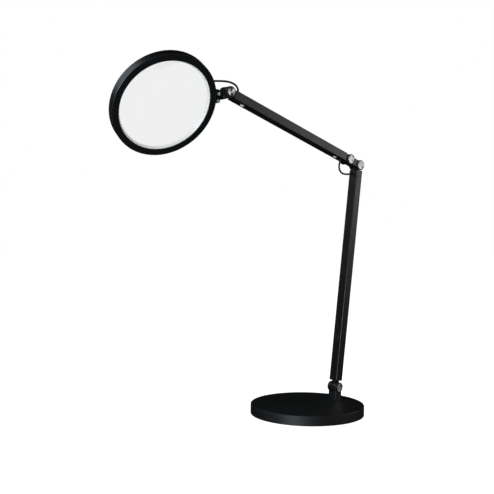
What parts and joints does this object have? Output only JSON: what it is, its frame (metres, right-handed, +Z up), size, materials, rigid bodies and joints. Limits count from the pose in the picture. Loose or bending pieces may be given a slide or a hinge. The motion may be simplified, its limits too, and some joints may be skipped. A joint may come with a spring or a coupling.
{
  "type": "magnifying lamp",
  "caption": "Desk magnifying lamp: round weighted base, jointed square arms, and a tilting, swivelling ring-framed lens lit from inside its black rim.",
  "frame": {"origin": "middle of the base's underside, on the surface it stands on", "axes": "+Z up; the lamp faces -Y, and the arm hinges turn about X"},
  "size_m": [0.23, 0.5865, 0.6877],
  "materials": {
    "black_metal": "satin black powder coat",
    "black_shell": "satin black moulded shell",
    "turned_aluminium": "face-turned bright aluminium",
    "steel": "zinc-plated steel",
    "bright_screw": "bright nickel-plated",
    "galvanised_plate": "galvanised sheet",
    "foam_rubber": "fine-pored foam",
    "black_rubber": "matte",
    "cable_sheath": "satin sheath",
    "washer_nylon": "natural nylon",
    "lens_glass": "polished, clear",
    "white_diffuser": "translucent opal white",
    "circuit_board": "solder-masked board",
    "led_chip": "phosphor-filled LED packages"
  },
  "bodies": {
    "base": {"base_cover": "black_metal", "base_weight": "steel", "base_plate": "galvanised_plate", "base_plate_screws": "steel", "base_pad": "foam_rubber", "power_inlet": "black_shell", "base_post": "black_metal", "post_bolts": "steel", "base_wire": "cable_sheath", "base_hinge_pin": "steel", "base_hinge_knobs": "black_shell", "base_hinge_discs": "turned_aluminium", "base_hinge_washers": "washer_nylon"},
    "lower_arm": {"lower_arm_tube": "black_metal", "lower_arm_foot": "black_metal", "lower_arm_top": "black_metal", "lower_arm_screws": "steel", "lower_arm_grommet": "black_rubber", "lower_arm_wire": "cable_sheath", "switch_bezel": "black_shell", "switch_board": "circuit_board"},
    "button": {"switch_button": "black_shell"},
    "link": {"elbow_link": "black_metal", "elbow_lower_pin": "steel", "elbow_lower_knobs": "black_shell", "elbow_lower_discs": "turned_aluminium", "elbow_lower_washers": "washer_nylon", "elbow_upper_pin": "steel", "elbow_upper_knobs": "black_shell", "elbow_upper_discs": "turned_aluminium", "elbow_upper_washers": "washer_nylon", "elbow_cable": "cable_sheath"},
    "upper_arm": {"upper_arm_tube": "black_metal", "upper_arm_elbow_end": "black_metal", "upper_arm_neck_end": "black_metal", "upper_arm_screws": "bright_screw", "upper_arm_grommets": "black_rubber", "upper_arm_wire": "cable_sheath"},
    "neck": {"neck_knuckle": "black_metal", "neck_set_screw": "steel", "neck_hinge_pin": "steel", "neck_hinge_knobs": "black_shell", "neck_hinge_discs": "turned_aluminium", "neck_hinge_washers": "washer_nylon", "neck_cable": "cable_sheath"},
    "head": {"swivel_pin": "steel", "head_bracket": "black_metal", "bracket_screws": "bright_screw", "head_housing": "black_shell", "head_rear_cover": "black_shell", "rear_cover_screws": "steel", "magnifier_lens": "lens_glass", "lens_gasket": "black_rubber", "light_diffuser": "white_diffuser", "led_board": "circuit_board", "led_chips": "led_chip", "head_grommet": "black_rubber"}
  },
  "joints": [
    {"name": "base_tilt", "type": "hinge", "parent": "base", "child": "lower_arm", "pos_m": [0, 0.0794, 0.0458], "axis": [1, 0, 0], "range_deg": [-25, 40]},
    {"name": "switch_press", "type": "slide", "parent": "lower_arm", "child": "button", "axis": [0, 0.9933, -0.1158], "range_m": [0, 0.0008], "stiffness_N_per_m": 600},
    {"name": "elbow_lower", "type": "hinge", "parent": "lower_arm", "child": "link", "pos_m": [0, 0.13333, 0.50837], "axis": [1, 0, 0], "range_deg": [-75, 22], "deforming": ["elbow_cable"]},
    {"name": "elbow_upper", "type": "hinge", "parent": "link", "child": "upper_arm", "pos_m": [0, 0.10473, 0.51952], "axis": [-1, 0, 0], "range_deg": [-60, 40], "deforming": ["elbow_cable"]},
    {"name": "neck_tilt", "type": "hinge", "parent": "upper_arm", "child": "neck", "pos_m": [0, -0.21467, 0.6295], "axis": [1, 0, 0], "range_deg": [-60, 50], "deforming": ["neck_cable"]},
    {"name": "head_swivel", "type": "hinge", "parent": "neck", "child": "head", "pos_m": [0, -0.21467, 0.6295], "axis": [0, -0.9483, -0.3173], "range_deg": [-150, 29], "deforming": ["neck_cable"]}
  ]
}
